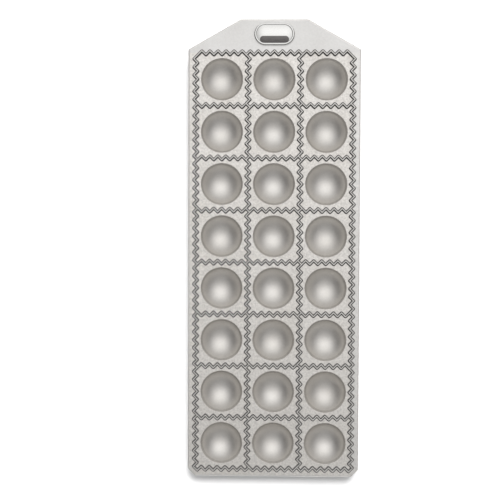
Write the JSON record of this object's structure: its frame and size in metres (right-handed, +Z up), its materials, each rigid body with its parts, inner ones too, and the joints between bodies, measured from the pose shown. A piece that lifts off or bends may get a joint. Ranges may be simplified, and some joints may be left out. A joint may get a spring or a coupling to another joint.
{
  "type": "ravioli mold",
  "caption": "Cast aluminium ravioli tray: round pockets framed by raised wavy cutting ridges, a tapered head with a small polished plate, and push-in rubber feet.",
  "frame": {"origin": "centre of the tray's overall length and width, on the surface it stands on", "axes": "+X to the right, +Y towards the head with the polished plate, +Z up"},
  "size_m": [0.1156, 0.3078, 0.0206],
  "materials": {
    "cast_aluminium": "satin, fine-grained casting",
    "polished_plate": "polished",
    "foot_rubber": "matte"
  },
  "bodies": {
    "root": {"tray": "cast_aluminium", "nameplate": "polished_plate", "foot_front_left": "foot_rubber", "foot_front_right": "foot_rubber", "foot_rear_left": "foot_rubber", "foot_rear_right": "foot_rubber"}
  },
  "joints": []
}
